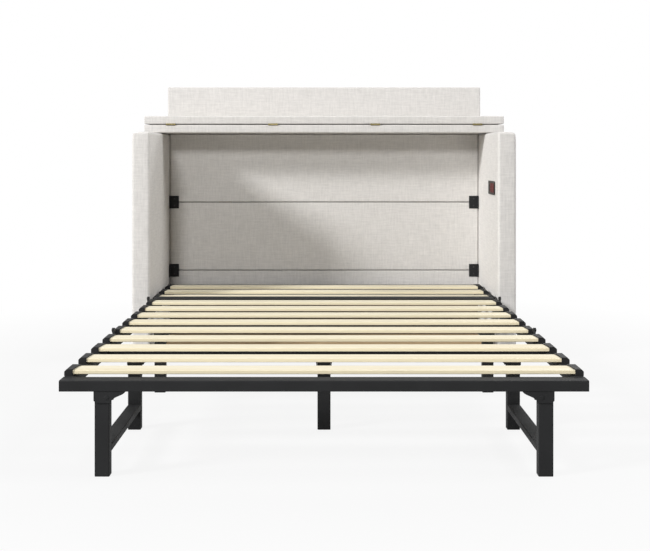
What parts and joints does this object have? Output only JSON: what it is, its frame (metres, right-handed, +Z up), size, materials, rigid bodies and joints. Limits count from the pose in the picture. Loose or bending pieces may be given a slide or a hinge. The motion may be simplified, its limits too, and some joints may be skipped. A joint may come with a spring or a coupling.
{
  "type": "cabinet bed with storage headboard",
  "caption": "Upholstered cabinet with a folding lid and an upright panel behind it, and a slatted steel bed frame on folding legs that folds up against the cabinet.",
  "frame": {"origin": "centre of the footprint of the opened bed, at floor level", "axes": "+X to the right seen from the foot of the bed, +Y from the foot towards the cabinet, +Z up"},
  "size_m": [1.72, 2.22, 1.271],
  "materials": {
    "linen": "pale warm-grey linen weave over a padded board",
    "birch": "clear lacquered laminated birch",
    "plywood": "plain sawn board",
    "black_steel": "black powder coat, satin",
    "brass": "satin brass plate",
    "grey_plastic": "dark grey moulded plastic"
  },
  "bodies": {
    "cabinet": {"side_panel_left": "linen", "side_panel_right": "linen", "back_plank_lower": "linen", "back_plank_middle": "linen", "back_plank_upper": "linen", "back_batten_left": "plywood", "back_batten_right": "plywood", "rear_cover": "linen", "corner_plate_lower_left": "black_steel", "corner_plate_lower_right": "black_steel", "corner_plate_upper_left": "black_steel", "corner_plate_upper_right": "black_steel", "base_board": "plywood", "headboard_panel": "linen", "headboard_bracket_left": "black_steel", "headboard_bracket_right": "black_steel", "charging_unit": "grey_plastic", "lid_rear_leaf": "linen", "lid_hinge_fixed_1": "brass", "lid_hinge_fixed_2": "brass", "lid_hinge_fixed_3": "brass", "lid_hinge_fixed_4": "brass", "rear_rail_left": "black_steel", "rear_rail_right": "black_steel", "rear_cross_tube": "black_steel", "hinge_cross_bar": "black_steel", "slat_01": "birch", "slat_02": "birch", "slat_03": "birch"},
    "lid_front": {"lid_front_leaf": "linen", "lid_hinge_moving_1": "brass", "lid_hinge_moving_2": "brass", "lid_hinge_moving_3": "brass", "lid_hinge_moving_4": "brass"},
    "mid_section": {"mid_rail_left": "black_steel", "mid_rail_right": "black_steel", "mid_cross_tube": "black_steel", "slat_04": "birch", "slat_05": "birch", "slat_06": "birch", "slat_07": "birch", "slat_08": "birch"},
    "foot_section": {"front_rail": "black_steel", "foot_rail_left": "black_steel", "foot_rail_right": "black_steel", "foot_cross_tube": "black_steel", "slat_09": "birch", "slat_10": "birch", "slat_11": "birch", "slat_12": "birch"},
    "leg_frame_left": {"left_front_leg": "black_steel", "left_rear_leg": "black_steel", "left_stretcher": "black_steel"},
    "leg_frame_right": {"right_front_leg": "black_steel", "right_rear_leg": "black_steel", "right_stretcher": "black_steel"},
    "center_leg": {"center_leg": "black_steel"},
    "mid_leg_left": {"mid_leg_left": "black_steel"},
    "mid_leg_right": {"mid_leg_right": "black_steel"}
  },
  "joints": [
    {"name": "lid_fold", "type": "hinge", "parent": "cabinet", "child": "lid_front", "pos_m": [0, 0.7285, 1.0688], "axis": [1, 0, 0], "range_deg": [0, 180]},
    {"name": "mid_fold", "type": "hinge", "parent": "cabinet", "child": "mid_section", "pos_m": [0, 0.323, 0.2985], "axis": [-1, 0, 0], "range_deg": [0, 90]},
    {"name": "foot_fold", "type": "hinge", "parent": "mid_section", "child": "foot_section", "pos_m": [0, -0.43, 0.2985], "axis": [-1, 0, 0], "range_deg": [0, 180]},
    {"name": "leg_frame_left_fold", "type": "hinge", "parent": "foot_section", "child": "leg_frame_left", "pos_m": [-0.624, -1.0885, 0.228], "axis": [0, -1, 0], "range_deg": [0, 90]},
    {"name": "leg_frame_right_fold", "type": "hinge", "parent": "foot_section", "child": "leg_frame_right", "pos_m": [0.624, -1.0885, 0.228], "axis": [0, 1, 0], "range_deg": [0, 90]},
    {"name": "center_leg_fold", "type": "hinge", "parent": "foot_section", "child": "center_leg", "pos_m": [0, -0.625, 0.228], "axis": [-1, 0, 0], "range_deg": [0, 90]},
    {"name": "mid_leg_left_fold", "type": "hinge", "parent": "mid_section", "child": "mid_leg_left", "pos_m": [-0.624, -0.111, 0.228], "axis": [0, -1, 0], "range_deg": [0, 90]},
    {"name": "mid_leg_right_fold", "type": "hinge", "parent": "mid_section", "child": "mid_leg_right", "pos_m": [0.624, -0.111, 0.228], "axis": [0, 1, 0], "range_deg": [0, 90]}
  ]
}
